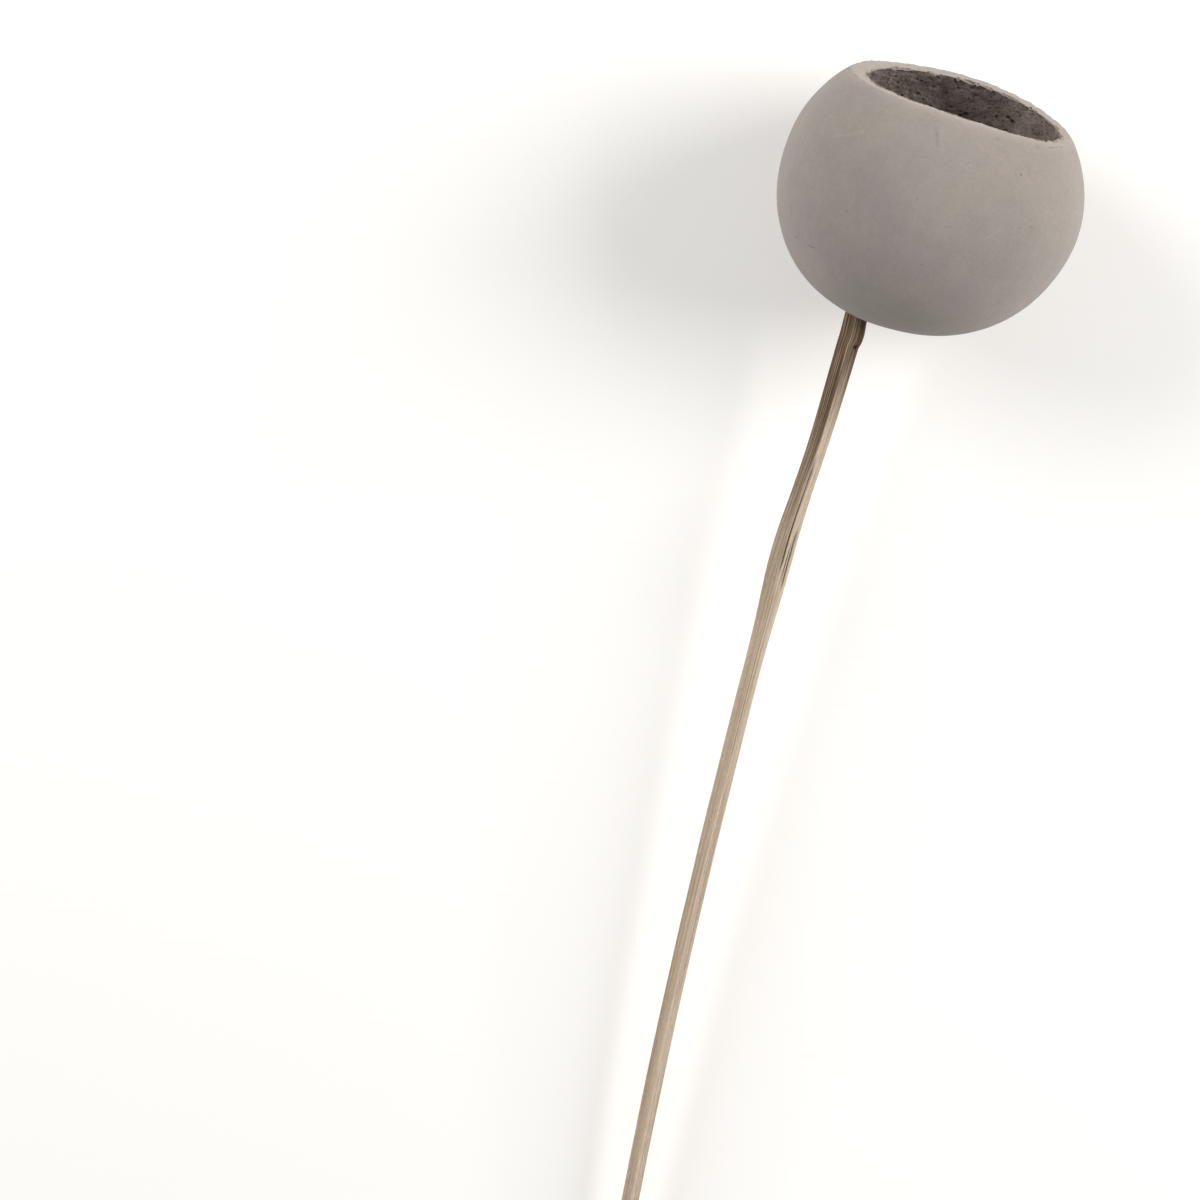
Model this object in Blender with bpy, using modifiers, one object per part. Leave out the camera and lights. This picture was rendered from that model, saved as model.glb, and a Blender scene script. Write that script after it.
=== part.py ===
"""A dried bell cup pod on its stem, lying on a surface as cut.

The cup is the hard round shell of a fruit with its top sawn off and its pulp cleaned out.
It lies on its belly with the mouth towards +Y, and a split wooden stem, pushed into a hole
drilled beside the shell's pole and held by a bead of glue inside, runs away towards -Y until
its cut end touches down. Metres, +Z up, the origin under the middle of the whole object.
"""

import math

import bmesh
import bpy
from mathutils import Euler, Matrix, Vector, geometry

MM = 0.001

# The shell's outer form, as distances from its centre
EQUATOR_RADIUS = 32.9 * MM
POLE_FLATTENING = 2.0 * MM
POLE_FLATNESS = 6
SHOULDER_DROP = 2.4 * MM
SIDE_LEAN = 0.64 * MM
LOBE_DEPTH = 0.2 * MM
LOBES = 3
LOBE_TURN = math.radians(40)
EDGE_ANGLE = math.radians(50)

# The wall and the sawn mouth
WALL = 3.5 * MM
MOUTH_HEIGHT = 20.5 * MM
MOUTH_WAVE = 0.3 * MM
FAR_RISE = 2.0 * MM
FAR_TURN = math.radians(75)
FAR_NARROWNESS = 2.4
MOUTH_ROUNDS = 8
LIP_ROUNDING = 1.1 * MM
LIP_STEPS = 3
SKIN_SEGMENTS = 60
SKIN_RINGS = 32

# How the shell lies: the mouth looks a little up and to the right of the stem's line
MOUTH_RISE = math.radians(15.5)
MOUTH_SWING = math.radians(6.2)
FLAT_SPOT_DEPTH = 0.55 * MM
POD_HEIGHT = EQUATOR_RADIUS - FLAT_SPOT_DEPTH
POD_PLACE = Vector((0, 0, POD_HEIGHT))

# The stem's centre line as it lies: sideways and lengthwise from the shell's centre, and height
STEM_ROUTE = [
    Vector(point) * MM
    for point in (
        (-9.6, -20.5, 24.8),
        (-9.9, -29.2, 24.2),
        (-11.7, -56.0, 22.4),
        (-14.1, -79.0, 20.8),
        (-14.9, -97.0, 19.5),
        (-16.0, -128.0, 17.2),
        (-16.8, -168.0, 14.4),
        (-16.7, -208.0, 11.8),
        (-15.3, -262.0, 8.3),
        (-12.8, -330.0, 4.1),
        (-11.0, -374.0, 1.681),
    )
]
STATION_SPACING = 5 * MM
STEM_WIDTH = 4.08 * MM
COLLAR_SWELL = 1.3 * MM
COLLAR_REACH = 42 * MM
BEND_SWELL = 1.22 * MM
BEND_PLACE = 64 * MM
BEND_REACH = 13 * MM
STEM_TWIST = math.radians(25)
WELD_DISTANCE = 0.01 * MM

# The stem's section: a split stick with five worn corners, wider than it is deep
SECTION_SIDES = 5
SECTION_POINTS = 20
SECTION_TURN = math.radians(64)
CORNER_SHARPNESS = 0.13
SECTION_DEPTH = 0.88

# A broken side shoot just below the shell
KNOT_PLACE = 13.5 * MM
KNOT_REACH = 2.6 * MM
KNOT_SWELL = 0.4 * MM
KNOT_SIDE = Vector((1.0, 0.0, 0.3))

# The joint between the stem and the shell
GAP = 0.3 * MM
HOLE_RADIUS = 3.05 * MM
HOLE_SIDES = 28
HOLE_LENGTH = 16 * MM
BEAD_RADIUS = 6.2 * MM
BEAD_HEIGHT = 3.0 * MM
BEAD_SEGMENTS = 28
BEAD_RINGS = 14
BEAD_SHIFT = Vector((0.5, 0.0, 0.0)) * MM

# Finishes: a colour and a roughness each
PAINTED_SHELL = ((0.40, 0.37, 0.335), 0.9)
SPLIT_WOOD = ((0.52, 0.42, 0.32), 0.8)
DRIED_GLUE = ((0.62, 0.56, 0.46), 0.4)

COLLECTION = "bell_cup_pod"
CUTTERS = "cutters"


def clear_scene():
    for obj in list(bpy.data.objects):
        bpy.data.objects.remove(obj, do_unlink=True)


def collection(name):
    made = bpy.data.collections.new(name)
    bpy.context.scene.collection.children.link(made)
    return made


def material(name, finish):
    colour, roughness = finish
    made = bpy.data.materials.new(name)
    made.use_nodes = True
    shader = made.node_tree.nodes["Principled BSDF"]
    shader.inputs["Base Color"].default_value = (*colour, 1)
    shader.inputs["Roughness"].default_value = roughness
    shader.inputs["Metallic"].default_value = 0
    return made


def add_object(name, mesh, home, finish=None):
    obj = bpy.data.objects.new(name, mesh)
    home.objects.link(obj)
    if finish:
        mesh.materials.append(finish)
    return obj


def smooth(mesh):
    mesh.shade_smooth()
    mesh.set_sharp_from_angle(angle=EDGE_ANGLE)


def pod_radius(polar, around):
    """From the shell's centre to its skin. polar is 0 at the pole by the stem, pi at the mouth."""
    to_pole = max(math.cos(polar), 0)
    to_mouth = max(-math.cos(polar), 0)
    lean = -SIDE_LEAN * math.cos(around) * 2 * math.sin(polar) * to_pole
    lobes = LOBE_DEPTH * math.sin(polar) ** 2 * math.cos(LOBES * around + LOBE_TURN)
    flattening = POLE_FLATTENING * to_pole**POLE_FLATNESS
    return EQUATOR_RADIUS - flattening - SHOULDER_DROP * to_mouth**2 + lean + lobes


def mouth_height(around):
    """The sawn edge isn't flat: it dips and rises twice on its way round, and bulges on the far side."""
    wave = MOUTH_WAVE * 0.5 * math.sin(3 * around) - MOUTH_WAVE * math.cos(2 * around)
    bulge = FAR_RISE * math.exp(FAR_NARROWNESS * (math.cos(around - FAR_TURN) - 1))
    return MOUTH_HEIGHT + wave + bulge


def mouth_polar(around):
    """The polar angle at which the skin comes up to the sawn edge."""
    polar = math.acos(-MOUTH_HEIGHT / EQUATOR_RADIUS)
    for _ in range(MOUTH_ROUNDS):
        polar = math.acos(-mouth_height(around) / pod_radius(polar, around))
    return polar


def on_skin(polar, around, inset=0.0):
    """A point on the shell's skin, or inset below it, in the shell's own frame."""
    reach = pod_radius(polar, around) - inset
    level = reach * math.sin(polar)
    return Vector((level * math.cos(around), level * math.sin(around), -reach * math.cos(polar)))


def polar_form(inset=0.0, open_at_mouth=True):
    """A UV sphere moved onto the skin, cut open at the mouth or left closed."""
    form = bmesh.new()
    bmesh.ops.create_uvsphere(form, u_segments=SKIN_SEGMENTS, v_segments=SKIN_RINGS, radius=1)
    last_ring = math.pi
    if open_at_mouth:
        last_ring = math.floor(mouth_polar(0) / math.pi * SKIN_RINGS) * math.pi / SKIN_RINGS
        past_mouth = last_ring + 0.5 * math.pi / SKIN_RINGS
        cap = [v for v in form.verts if -v.co.z < math.cos(past_mouth)]
        bmesh.ops.delete(form, geom=cap, context="VERTS")
    for vertex in form.verts:
        polar = math.acos(max(-1, min(1, -vertex.co.z)))
        around = math.atan2(vertex.co.y, vertex.co.x)
        if open_at_mouth:
            polar *= mouth_polar(around) / last_ring
        vertex.co = on_skin(polar, around, inset)
    mesh = bpy.data.meshes.new("skin")
    form.to_mesh(mesh)
    form.free()
    return mesh


def lay_down(obj):
    """Turns a form in the shell's own frame so that its mouth points where it lies."""
    obj.rotation_euler = Euler((MOUTH_RISE - math.pi / 2, 0, -MOUTH_SWING))
    obj.location = POD_PLACE


def smooth_route(points, spacing):
    """Points along a smooth curve through the route's own points, about the spacing apart."""
    ends = [points[0] * 2 - points[1], *points, points[-1] * 2 - points[-2]]
    found = []
    for before, start, end, after in zip(ends, ends[1:], ends[2:], ends[3:]):
        lead_in = start + (end - before) / 6
        lead_out = end - (after - start) / 6
        steps = max(2, round((end - start).length / spacing))
        found += geometry.interpolate_bezier(start, lead_in, lead_out, end, steps + 1)[:-1]
    return [*found, points[-1]]


def stem_width(along):
    """The stem's width at a distance from its end inside the shell."""
    collar = COLLAR_SWELL * math.exp(-((along / COLLAR_REACH) ** 2))
    bend = BEND_SWELL * math.exp(-(((along - BEND_PLACE) / BEND_REACH) ** 2))
    return STEM_WIDTH + collar + bend


def stem_section(home):
    """The closed outline that the stem's curve sweeps, 1 across."""
    curve = bpy.data.curves.new("stem_section", "CURVE")
    spline = curve.splines.new("POLY")
    spline.points.add(SECTION_POINTS - 1)
    for index, point in enumerate(spline.points):
        turn = math.tau * index / SECTION_POINTS
        corner = math.cos(SECTION_SIDES * turn + SECTION_TURN)
        reach = 0.5 * (1 - CORNER_SHARPNESS + CORNER_SHARPNESS * corner)
        point.co = (reach * math.cos(turn), reach * math.sin(turn) * SECTION_DEPTH, 0, 1)
    spline.use_cyclic_u = True
    outline = bpy.data.objects.new("stem_section", curve)
    outline.hide_render = True
    outline.display_type = "WIRE"
    home.objects.link(outline)
    return outline


def swept_stem(route, section):
    """The stem as a curve that carries the section, its width and its slow twist."""
    curve = bpy.data.curves.new("stem_line", "CURVE")
    curve.dimensions = "3D"
    curve.twist_mode = "Z_UP"
    curve.bevel_mode = "OBJECT"
    curve.bevel_object = section
    curve.use_fill_caps = True
    spline = curve.splines.new("POLY")
    spline.points.add(len(route) - 1)
    along = 0.0
    length = sum((b - a).length for a, b in zip(route, route[1:]))
    for index, (point, place) in enumerate(zip(spline.points, route)):
        along += (place - route[index - 1]).length if index else 0
        point.co = (*place, 1)
        point.radius = stem_width(along)
        point.tilt = STEM_TWIST * along / length
    return curve


def stem_mesh(route, cutter_home):
    """The swept stem as a closed mesh, with its broken side shoot raised from its surface."""
    section = stem_section(cutter_home)
    curve = swept_stem(route, section)
    holder = bpy.data.objects.new("stem_line", curve)
    bpy.context.scene.collection.objects.link(holder)
    bpy.context.view_layer.update()
    mesh = bpy.data.meshes.new_from_object(holder.evaluated_get(bpy.context.evaluated_depsgraph_get()))
    bpy.data.objects.remove(holder)
    form = bmesh.new()
    form.from_mesh(mesh)
    bmesh.ops.remove_doubles(form, verts=form.verts, dist=WELD_DISTANCE)
    knot_middle = route[0] + (route[1] - route[0]).normalized() * KNOT_PLACE
    knot = knot_middle + KNOT_SIDE * STEM_WIDTH / 2
    for vertex in form.verts:
        nearness = math.exp(-(((vertex.co - knot).length / KNOT_REACH) ** 2))
        vertex.co += Vector((KNOT_SWELL * nearness, 0, 0))
    bmesh.ops.recalc_face_normals(form, faces=form.faces)
    form.to_mesh(mesh)
    form.free()
    return mesh


def hide_cutter(obj):
    obj.hide_render = True
    obj.display_type = "WIRE"


def boolean(obj, operation, other):
    modifier = obj.modifiers.new(f"{operation.lower()}_{other.name}", "BOOLEAN")
    modifier.operation = operation
    modifier.object = other
    modifier.solver = "EXACT"


def floor_cutter(home):
    """A block with its top face at the surface that the object lies on."""
    form = bmesh.new()
    bmesh.ops.create_cube(form, size=1)
    mesh = bpy.data.meshes.new("floor_cutter")
    form.to_mesh(mesh)
    form.free()
    size = 3 * EQUATOR_RADIUS
    mesh.transform(Matrix.Translation((0, 0, -size / 2)) @ Matrix.Scale(size, 4))
    obj = add_object("floor_cutter", mesh, home)
    hide_cutter(obj)
    return obj


def drilled_hole(name, radius, middle, direction, home):
    """A round drill along the stem's line, centred where the stem meets the wall."""
    form = bmesh.new()
    bmesh.ops.create_cone(
        form,
        cap_ends=True,
        segments=HOLE_SIDES,
        radius1=radius,
        radius2=radius,
        depth=HOLE_LENGTH,
    )
    mesh = bpy.data.meshes.new(name)
    form.to_mesh(mesh)
    form.free()
    obj = add_object(name, mesh, home)
    obj.location = middle
    obj.rotation_euler = direction.to_track_quat("Z", "Y").to_euler()
    hide_cutter(obj)
    return obj


def shell(home, finish, cutters):
    """The cup: the open skin with its wall, its rounded lip and the cuts for the stem and the belly."""
    obj = add_object("shell", polar_form(), home, finish)
    lay_down(obj)
    wall = obj.modifiers.new("wall", "SOLIDIFY")
    wall.thickness = WALL
    wall.offset = -1
    wall.use_even_offset = True
    lip = obj.modifiers.new("lip", "BEVEL")
    lip.width = LIP_ROUNDING
    lip.segments = LIP_STEPS
    lip.limit_method = "ANGLE"
    lip.angle_limit = EDGE_ANGLE
    for cutter in cutters:
        boolean(obj, "DIFFERENCE", cutter)
    smooth(obj.data)
    return obj


def glue_bead(home, finish, place, wall_inwards, drill, cutter_home):
    """A flattened drop of glue round the stem, lying on the inside of the wall."""
    form = bmesh.new()
    bmesh.ops.create_uvsphere(form, u_segments=BEAD_SEGMENTS, v_segments=BEAD_RINGS, radius=BEAD_RADIUS)
    mesh = bpy.data.meshes.new("glue_bead")
    form.to_mesh(mesh)
    form.free()
    mesh.transform(Matrix.Scale(BEAD_HEIGHT / BEAD_RADIUS, 4, (0, 0, 1)))
    obj = add_object("glue_bead", mesh, home, finish)
    obj.location = place + BEAD_SHIFT
    obj.rotation_euler = wall_inwards.to_track_quat("Z", "Y").to_euler()
    hollow = add_object("hollow_inside", polar_form(WALL + GAP, open_at_mouth=False), cutter_home)
    lay_down(hollow)
    hide_cutter(hollow)
    boolean(obj, "INTERSECT", hollow)
    boolean(obj, "DIFFERENCE", drill)
    smooth(mesh)
    return obj


def centre_on_origin(root, parts):
    """Moves everything so that the middle of the object's box, at its base, is the origin."""
    bpy.context.view_layer.update()
    graph = bpy.context.evaluated_depsgraph_get()
    corners = []
    for part in parts:
        evaluated = part.evaluated_get(graph)
        corners += [evaluated.matrix_world @ v.co for v in evaluated.to_mesh().vertices]
        evaluated.to_mesh_clear()
    sideways = (min(c.x for c in corners) + max(c.x for c in corners)) / 2
    lengthwise = (min(c.y for c in corners) + max(c.y for c in corners)) / 2
    root.location = (-sideways, -lengthwise, 0)


def main():
    clear_scene()
    home = collection(COLLECTION)
    cutter_home = collection(CUTTERS)
    painted = material("painted_shell", PAINTED_SHELL)
    wood = material("split_wood", SPLIT_WOOD)
    glue = material("dried_glue", DRIED_GLUE)

    inner_end, hole_place = STEM_ROUTE[0], STEM_ROUTE[1]
    outwards = (hole_place - inner_end).normalized()
    from_centre = (hole_place - POD_PLACE).normalized()
    bead_place = hole_place - from_centre * WALL

    drill = drilled_hole("drill", HOLE_RADIUS, hole_place, outwards, cutter_home)
    floor = floor_cutter(cutter_home)
    cup = shell(home, painted, (drill, floor))
    route = smooth_route(STEM_ROUTE, STATION_SPACING)
    stem = add_object("stem", stem_mesh(route, cutter_home), home, wood)
    smooth(stem.data)
    bead = glue_bead(home, glue, bead_place, -from_centre, drill, cutter_home)

    root = bpy.data.objects.new("lying_place", None)
    home.objects.link(root)
    parts = (cup, stem, bead)
    for obj in (*parts, *cutter_home.objects):
        obj.parent = root
    centre_on_origin(root, parts)


main()
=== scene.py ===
"""The looks of a dried bell cup pod that lies on a pale table, seen from straight above.

The pod is a hard fruit rind, sawn open, cleaned out and brushed with grey chalk paint, on a stem
of split wood that is glued into a hole beside its pole. Metres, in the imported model's frame.
"""

import math
import bmesh
import bpy
import numpy as np
from mathutils import Euler, Matrix, Vector, geometry


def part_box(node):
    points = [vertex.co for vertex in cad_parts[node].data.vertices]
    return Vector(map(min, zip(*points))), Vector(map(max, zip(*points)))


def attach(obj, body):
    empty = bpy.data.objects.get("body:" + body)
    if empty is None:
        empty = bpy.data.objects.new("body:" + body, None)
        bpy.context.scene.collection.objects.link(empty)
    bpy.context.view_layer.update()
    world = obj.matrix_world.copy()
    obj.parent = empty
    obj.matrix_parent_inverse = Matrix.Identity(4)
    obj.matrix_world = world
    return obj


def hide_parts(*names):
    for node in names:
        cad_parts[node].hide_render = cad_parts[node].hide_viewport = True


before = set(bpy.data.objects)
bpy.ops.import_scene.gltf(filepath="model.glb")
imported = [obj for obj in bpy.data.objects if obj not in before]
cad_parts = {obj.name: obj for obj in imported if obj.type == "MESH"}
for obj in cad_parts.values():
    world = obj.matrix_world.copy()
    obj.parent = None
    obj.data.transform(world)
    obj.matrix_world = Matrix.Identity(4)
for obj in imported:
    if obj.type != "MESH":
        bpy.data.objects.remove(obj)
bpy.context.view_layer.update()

MM = 0.001

shell_low, shell_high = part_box("shell")
stem_low, stem_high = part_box("stem")

# The shell's outer form, as distances from its centre
EQUATOR_RADIUS = 32.9 * MM
POLE_FLATTENING = 2.0 * MM
POLE_FLATNESS = 6
SHOULDER_DROP = 2.4 * MM
SIDE_LEAN = 0.64 * MM
LOBE_DEPTH = 0.2 * MM
LOBES = 3
LOBE_TURN = math.radians(40)

# The wall and the sawn mouth
WALL = 3.5 * MM
MOUTH_HEIGHT = 20.5 * MM
MOUTH_WAVE = 0.3 * MM
FAR_RISE = 2.0 * MM
FAR_TURN = math.radians(75)
FAR_NARROWNESS = 2.4
MOUTH_ROUNDS = 8
LIP_DISH = math.radians(7)
OUTER_ROUNDING = 0.7 * MM
INNER_ROUNDING = 0.6 * MM
CORNER_STEPS = 4
THINNER_RIGHT = 1.4 * MM
THINNING_REACH = 7 * MM

# The marks that the patterns follow: how far inside the corners and the lip count as being, from 0 on
# the skin to 1 on the wall, and how far the lip's marks fade from its corners
OUTER_CORNER_INSIDE = 0.1
LIP_INSIDE = (0.15, 0.45)
INNER_CORNER_INSIDE = 0.6
EDGE_REACH = 1.6 * MM

# Scratches, creases and pinholes in the paint: turn round the mouth in degrees and distance from the
# rim in mm, of both ends, then half width in mm and how dark it is, or how pale where below zero
PAINT_MARKS = (
    ((-147, 38.9), (-134, 38.7), 0.28, 0.5),
    ((-99, 4.6), (-95, 8.2), 0.8, 0.13),
    ((-96, 4.4), (-92, 9.5), 0.9, -0.05),
    ((-98, 5.5), (-97, 6.1), 0.3, 0.25),
    ((-53.5, 19.6), (-50.5, 19.3), 0.28, 0.4),
    ((-49, 19.2), (-46.5, 19.1), 0.25, 0.35),
    ((-66, 23.6), (-62, 21.2), 0.3, -0.22),
    ((-64, 25.5), (-58, 24.6), 0.25, -0.15),
    ((-75, 28.0), (-60, 28.8), 0.3, 0.08),
    ((-70, 31.0), (-52, 31.6), 0.3, 0.08),
    ((-137, 14.0), (-127, 11.0), 0.7, -0.1),
    ((-112, 1.6), (-101, 2.0), 0.35, 0.12),
    ((-38, 1.2), (-24, 1.0), 0.22, 0.45),
    ((-55.2, 3.5), (-55.2, 3.5), 0.3, 0.7),
    ((-57.1, 8.8), (-57.1, 8.8), 0.42, 0.6),
    ((-95.5, 20.0), (-95.5, 20.0), 0.3, 0.5),
    ((-119.5, 27.6), (-119.5, 27.6), 0.3, 0.5),
    ((-87.6, 15.0), (-87.6, 15.0), 0.26, 0.5),
)
MARK_DEPTH = 0.1 * MM
MARK_WOBBLE = 0.9 * MM
MARK_WOBBLE_SIZE = 3 * MM
MARK_PATCH_SIZE = 1.3 * MM

# The paint's patterns and their relief, and how far across the lip it goes
BLOTCH_SIZE = 16 * MM
SMUDGE_SIZE = 4.5 * MM
BRUSH_WIDTH = 1.6 * MM
BRUSH_STRETCH = 0.08
BRUSH_DEPTH = 0.02 * MM
GRIT_SIZE = 0.7 * MM
GRIT_ON_PAINT = 0.035 * MM
GRIT_ON_WALL = 0.45 * MM
LIP_PAINTED_UNTIL = 0.4

# Holes too small for the mesh: spacing, part of the random colour that picks them, share left out,
# widest radius and soft edge in spacings, and how the edge falls away
PINHOLES = (2.3 * MM, "Red", 0.84, 0.12, 0.05, "LINEAR")
PINHOLE_DARKNESS = 0.35
WALL_PITS = (
    (2.6 * MM, "Green", 0.2, 0.3, 0.12, "SMOOTHSTEP"),
    (1.3 * MM, "Green", 0.35, 0.28, 0.12, "SMOOTHSTEP"),
)
WALL_PIT_BEND = 0.5
WALL_PIT_DEPTH = 0.3 * MM

# How the shell lies
MOUTH_RISE = math.radians(15.5)
MOUTH_SWING = math.radians(6.2)
FLAT_SPOT_DEPTH = 0.55 * MM
RIM_REACH = 27.318 * MM
POD_PLACE = Vector(
    (
        (shell_low.x + shell_high.x) / 2 - 0.08 * MM,
        shell_high.y - RIM_REACH,
        EQUATOR_RADIUS - FLAT_SPOT_DEPTH,
    )
)

# The fine mesh of the shell: spacing of its rings at the lip, on the rough wall and far from them
SHELL_SEGMENTS = 440
LIP_SPACING = 0.28 * MM
LIP_REACH = 5 * MM
ROUGH_SPACING = 0.32 * MM
ROUGH_REACH = 17 * MM
FAR_SPACING = 1.1 * MM
SKIN_WIDENING = 0.08
WALL_WIDENING = 0.06

# The stem's centre line: sideways and lengthwise from the shell's centre, and height
STEM_ROUTE = [
    Vector(point) * MM + Vector((POD_PLACE.x, POD_PLACE.y, 0))
    for point in (
        (-9.6, -20.5, 24.8),
        (-9.9, -29.2, 24.2),
        (-11.7, -56.0, 22.4),
        (-14.1, -79.0, 20.8),
        (-14.9, -97.0, 19.5),
        (-16.0, -128.0, 17.2),
        (-16.8, -168.0, 14.4),
        (-16.7, -208.0, 11.8),
        (-15.3, -262.0, 8.3),
        (-12.8, -330.0, 4.1),
        (-11.0, -374.0, 1.681),
    )
]
STATION_SPACING = 0.8 * MM

# The stem's width, which swells near the shell and in the bend, and its section
STEM_WIDTH = 4.08 * MM
COLLAR_SWELL = 1.3 * MM
COLLAR_REACH = 42 * MM
BEND_SWELL = 1.22 * MM
BEND_PLACE = 64 * MM
BEND_REACH = 13 * MM
STEM_TWIST = math.radians(25)
SECTION_SIDES = 5
SECTION_POINTS = 144
SECTION_TURN = math.radians(135)
CORNER_SHARPNESS = 0.13
SECTION_DEPTH = 0.88

# The knot below the shell, and the hole that the broken shoot left under it: how far along the stem,
# on which side, and their sizes
KNOT_PLACE = 13.0 * MM
KNOT_REACH = 3.2 * MM
KNOT_SWELL = 0.45 * MM
KNOT_SIDE = Vector((1.0, 0.0, 0.3))
KNOT_HOLE_PLACE = 15.6 * MM
KNOT_HOLE_SIDE = Vector((0.92, 0.0, 0.5))
KNOT_HOLE_RADIUS = 0.85 * MM
KNOT_HOLE_DEPTH = 1.2
KNOT_BREAK = 1.2 * MM

# Splits along the stem: angle round the section and half width in degrees, then start, end, length
# of the tapered ends and depth in mm. A sliver that stands out has a depth below zero
SPLITS = (
    (-110, 7, 38, 69, 8, 0.55),
    (-109, 6, 62, 118, 12, 0.22),
    (-123, 10, 42, 66, 0.8, -0.25),
    (-137, 6, 58, 70, 4, 0.25),
    (-152, 6, 55, 72, 4, 0.3),
    (-82, 7, 12, 50, 9, 0.24),
    (-64, 7, 16, 62, 9, 0.14),
    (-124, 6, 12, 38, 9, 0.18),
    (-15, 6, 30, 120, 9, 0.2),
    (60, 7, 20, 150, 9, 0.3),
    (140, 5, 90, 230, 9, 0.25),
    (-98, 4, 120, 175, 9, 0.12),
    (20, 6, 210, 340, 9, 0.25),
)
SPLIT_WANDER = math.radians(9)
SPLIT_WANDER_LENGTH = 26 * MM
# How deep a split must be to be painted fully dark: painted shade in the splits
DARK_SPLIT_DEPTH = 0.3 * MM

# The hole that is drilled through the shell for the stem
HOLE_RADIUS = 3.05 * MM
HOLE_LENGTH = 16 * MM

# The wood's patterns, their relief, and its brown near the shell, which is stain with painted shade from
# the shell over it and ends further on to the left of the ridge, the side with painted shade
GRAIN_LENGTH = 260 * MM
FLECK_LENGTH = 45 * MM
FUZZ_LENGTH = 9 * MM
FIBRE_RELIEF = 0.12 * MM
FUZZ_RELIEF = 0.1 * MM
# The side left of the ridge is painted darker, as painted shade
RIDGE_SIDE = math.radians(-15)
LEFT_OF_RIDGE = Vector((math.cos(RIDGE_SIDE), math.sin(RIDGE_SIDE), 0))
RIDGE_BLEND = 0.08
# Where the brown near the shell starts and ends: stain, with painted shade from the shell over it
STAIN_AND_SHADE_START = 14 * MM
STAIN_AND_SHADE_END_RIGHT = 36 * MM
STAIN_AND_SHADE_END_LEFT = 84 * MM

# The bead of glue: how finely it is melted, how much it is smoothed, and how cloudy it looks
GLUE_GRID = 0.2 * MM
GLUE_SMOOTHING = 6
GLUE_CLOUD_SIZE = 2.5 * MM
GLUE_SCATTER = 2 * MM
WELD_DISTANCE = 0.001 * MM

# The camera: straight above, turned so that the pod leans as in the photograph
FRAME_PIXELS = 1200
PIXEL = 66.0 * MM / 308
POD_PIXEL = (931.3, 189.7)
CAMERA_HEIGHT = 1.2
CAMERA_ROLL = math.radians(12.3)
SENSOR = 36.0
NEAREST_SEEN = 0.05
FARTHEST_SEEN = 20

# The light
SOFTBOX_SIDE = 0.8
SOFTBOX_DISTANCE = 1.3
SOFTBOX_ELEVATION = 35
RIGHT_AZIMUTH = 20
RIGHT_POWER = 15.4
LEFT_AZIMUTH = 160
LEFT_POWER = 9.9
ROOM_LIGHT = 0.3
TABLE_GLOW = 0.15
TABLE_REACH = 3.0

# Kinds of node that the trees below use often
MATH = "ShaderNodeMath"
VECTOR_MATH = "ShaderNodeVectorMath"
NOISE = "ShaderNodeTexNoise"
MAP_RANGE = "ShaderNodeMapRange"
MARK = "GeometryNodeInputNamedAttribute"
STORE = "GeometryNodeStoreNamedAttribute"
POSITION = "GeometryNodeInputPosition"
NORMAL = "GeometryNodeInputNormal"
SAMPLE = "GeometryNodeSampleIndex"
RANDOM = "FunctionNodeRandomValue"
SCATTER = "GeometryNodeDistributePointsOnFaces"
SET_POSITION = "GeometryNodeSetPosition"
MIX = "ShaderNodeMix"
ATTRIBUTE = "ShaderNodeAttribute"


def linear(code):
    """An sRGB hex colour, such as 8a7f72, as linear red, green, blue and alpha."""
    parts = [int(code[i : i + 2], 16) / 255 for i in (0, 2, 4)]
    return (*(c / 12.92 if c <= 0.04045 else ((c + 0.055) / 1.055) ** 2.4 for c in parts), 1)


def add(tree, kind, inputs=None, result=None, **settings):
    """Adds a node with its settings and returns an output: the one named result, or the first in use.

    An input is a plain value, or the output socket that it is linked to.
    """
    made = tree.nodes.new(kind)
    for name, value in settings.items():
        setattr(made, name, value)
    for key, value in (inputs or {}).items():
        named = isinstance(key, str)
        socket = next(s for s in made.inputs if s.name == key and s.enabled) if named else made.inputs[key]
        if isinstance(value, bpy.types.NodeSocket):
            tree.links.new(value, socket)
        else:
            socket.default_value = value
    return next((s for s in made.outputs if s.enabled and result in (None, s.name)), None)


def geometry_tree(name, sizes):
    """A geometry tree with a named input for each of the sizes, and those inputs' sockets by name."""
    kinds = {float: "Float", int: "Int", Vector: "Vector", bpy.types.Material: "Material"}
    tree = bpy.data.node_groups.new(name, "GeometryNodeTree")
    tree.interface.new_socket("Geometry", in_out="OUTPUT", socket_type="NodeSocketGeometry")
    tree.interface.new_socket("Geometry", in_out="INPUT", socket_type="NodeSocketGeometry")
    for label, value in sizes.items():
        tree.interface.new_socket(label, in_out="INPUT", socket_type=f"NodeSocket{kinds[type(value)]}")
    entrance = tree.nodes.new("NodeGroupInput")
    return tree, {s.name: s for s in entrance.outputs if s.name}


def finish_tree(tree, surface, finish):
    """Ends a tree: smooth shading, real geometry in place of instances, and the material."""
    surface = add(tree, "GeometryNodeSetShadeSmooth", {"Geometry": surface})
    surface = add(tree, "GeometryNodeRealizeInstances", {"Geometry": surface})
    surface = add(tree, "GeometryNodeSetMaterial", {"Geometry": surface, "Material": finish})
    add(tree, "NodeGroupOutput", {"Geometry": surface})


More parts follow.
